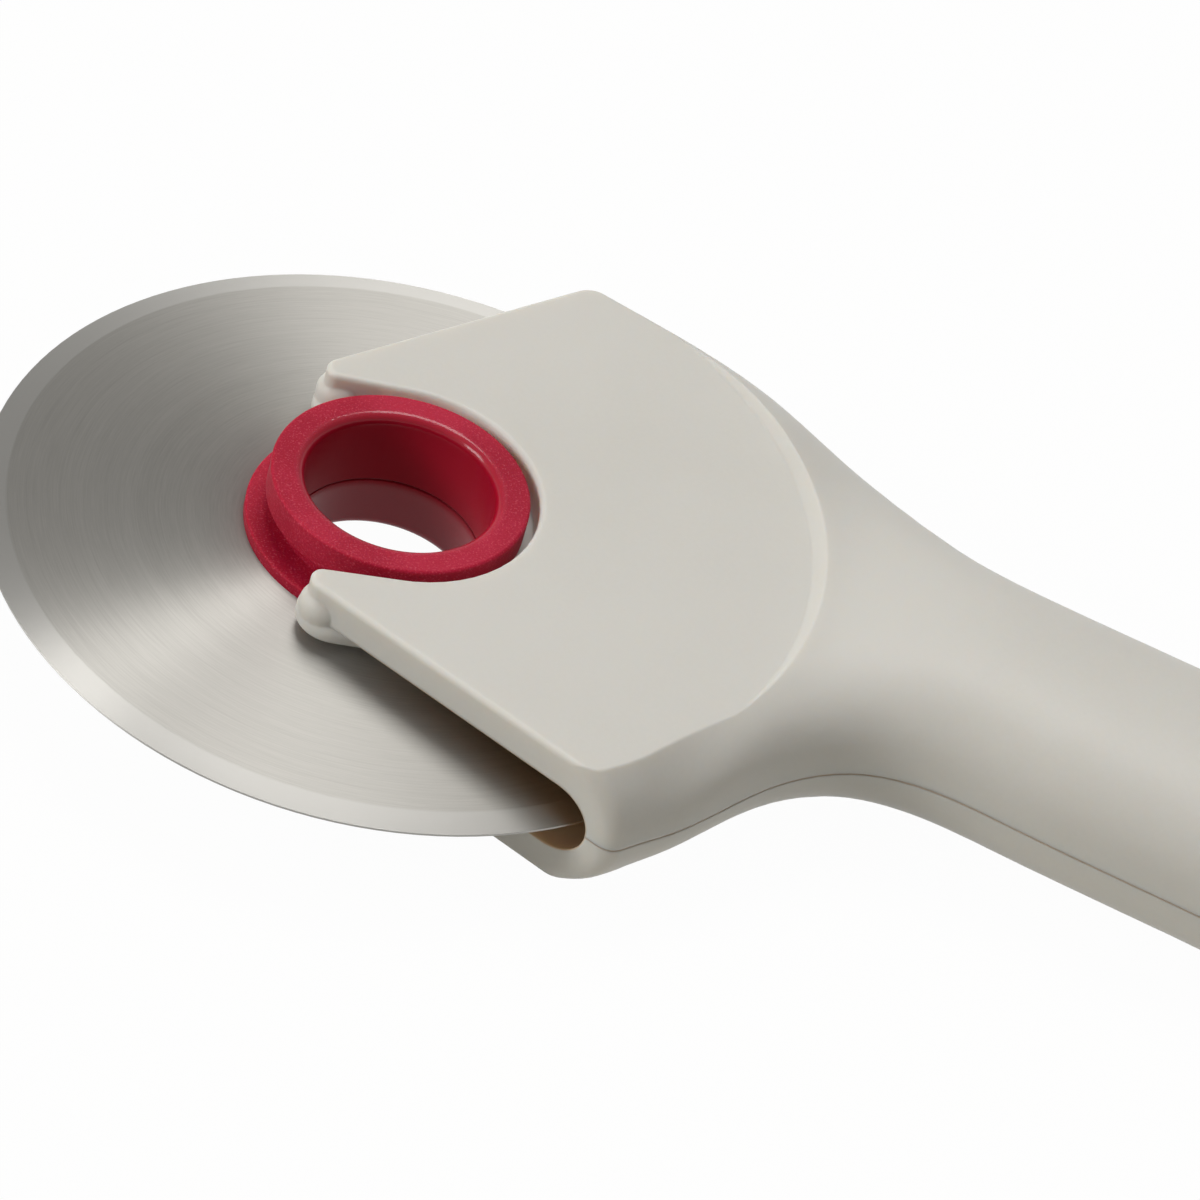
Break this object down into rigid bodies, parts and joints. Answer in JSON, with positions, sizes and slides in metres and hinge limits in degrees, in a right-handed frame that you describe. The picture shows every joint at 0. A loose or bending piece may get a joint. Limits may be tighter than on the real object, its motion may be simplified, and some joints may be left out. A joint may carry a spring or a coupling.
{
  "type": "pizza cutter wheel",
  "caption": "Pizza wheel: a thin steel disc that spins on a ring-shaped hub, held in the open slot of a forked plastic handle.",
  "frame": {"origin": "centre of the hub's bore, halfway through the blade's thickness", "axes": "+Z along the wheel's axle, up out of the upper cheek; +X from the wheel towards the handle along the head's centre line; the handle bends off towards -Y"},
  "size_m": [0.2004, 0.1001, 0.0178],
  "materials": {
    "blade_steel": "fine turned grain, ground edge",
    "hub_plastic": "moulded red plastic, soft sheen",
    "handle_plastic": "satin ivory grey plastic"
  },
  "bodies": {
    "handle": {"handle_top_shell": "handle_plastic", "handle_bottom_shell": "handle_plastic"},
    "hub": {"hub_top": "hub_plastic", "hub_bottom": "hub_plastic"},
    "blade": {"blade": "blade_steel"}
  },
  "joints": [
    {"name": "wheel_release", "type": "slide", "parent": "handle", "child": "hub", "axis": [-1, 0, 0], "range_m": [0, 0.05]},
    {"name": "blade_spin", "type": "hinge", "parent": "hub", "child": "blade", "pos_m": [0, 0, 0], "axis": [0, 0, 1], "continuous": true}
  ]
}
